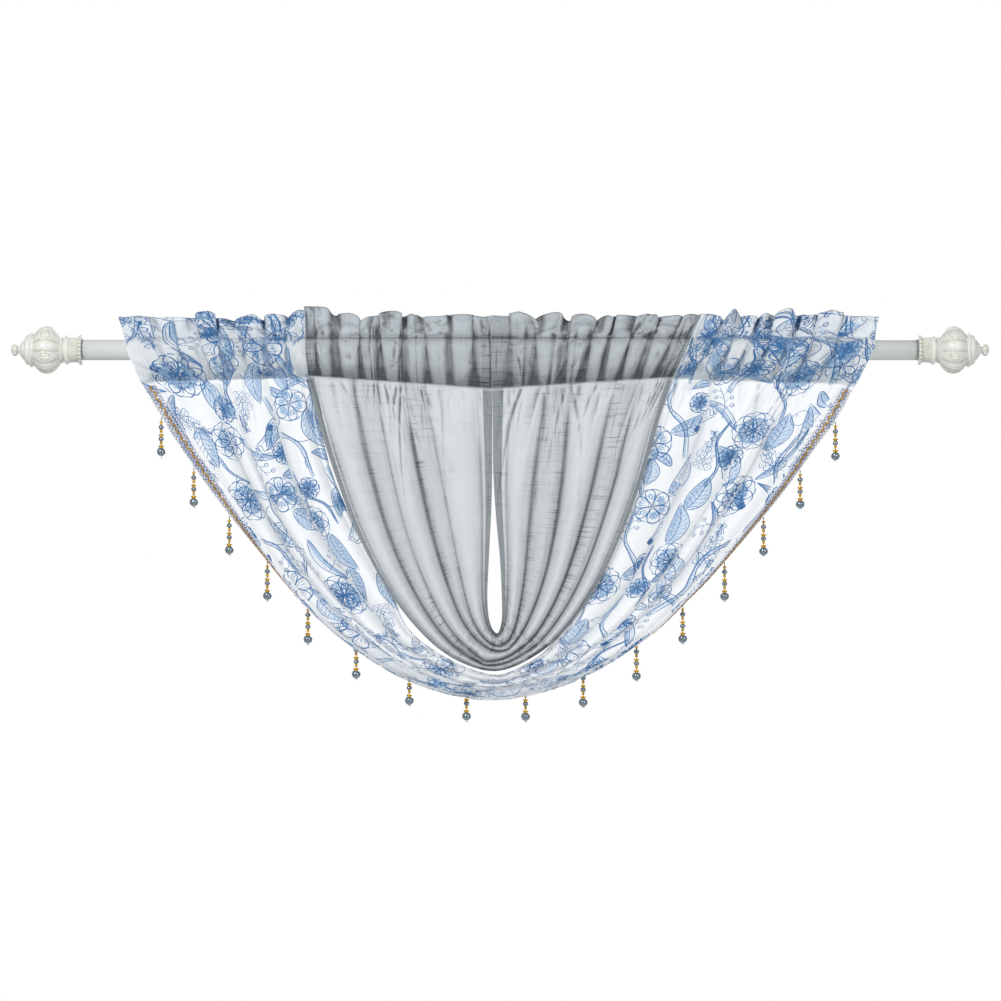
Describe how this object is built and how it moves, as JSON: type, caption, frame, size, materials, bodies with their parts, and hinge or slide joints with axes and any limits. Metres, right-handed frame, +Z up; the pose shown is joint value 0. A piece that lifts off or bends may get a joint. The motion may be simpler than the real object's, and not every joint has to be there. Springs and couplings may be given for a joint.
{
  "type": "swag valance on curtain rod",
  "caption": "Swag valance of nested sheer cloths, printed round plain, gathered on a curtain rod with turned finials and edged with a braid and bead drops.",
  "frame": {"origin": "on the rod's axis, midway between the finials", "axes": "+X along the rod to the viewer's right, +Y back to the wall, +Z up"},
  "size_m": [1.272, 0.0604, 0.5435],
  "materials": {
    "rod": "satin white lacquer with a faint silver cast",
    "finial": "cast resin with a satin ivory white paint",
    "plain_cloth": "sheer slub voile, mid grey",
    "printed_cloth": "sheer white voile with a blue plant print",
    "braid": "open gimp of grey cord with a gold cord through it",
    "beads": "steel grey pearl beads between gold discs"
  },
  "bodies": {
    "root": {"rod": "rod", "finial_left": "finial", "finial_right": "finial", "grey_swag": "plain_cloth", "printed_swag": "printed_cloth", "braid": "braid", "bead_drop_01": "beads", "bead_drop_02": "beads", "bead_drop_03": "beads", "bead_drop_04": "beads", "bead_drop_05": "beads", "bead_drop_06": "beads", "bead_drop_07": "beads", "bead_drop_08": "beads", "bead_drop_09": "beads", "bead_drop_10": "beads", "bead_drop_11": "beads", "bead_drop_12": "beads", "bead_drop_13": "beads", "bead_drop_14": "beads", "bead_drop_15": "beads", "bead_drop_16": "beads"}
  },
  "joints": []
}
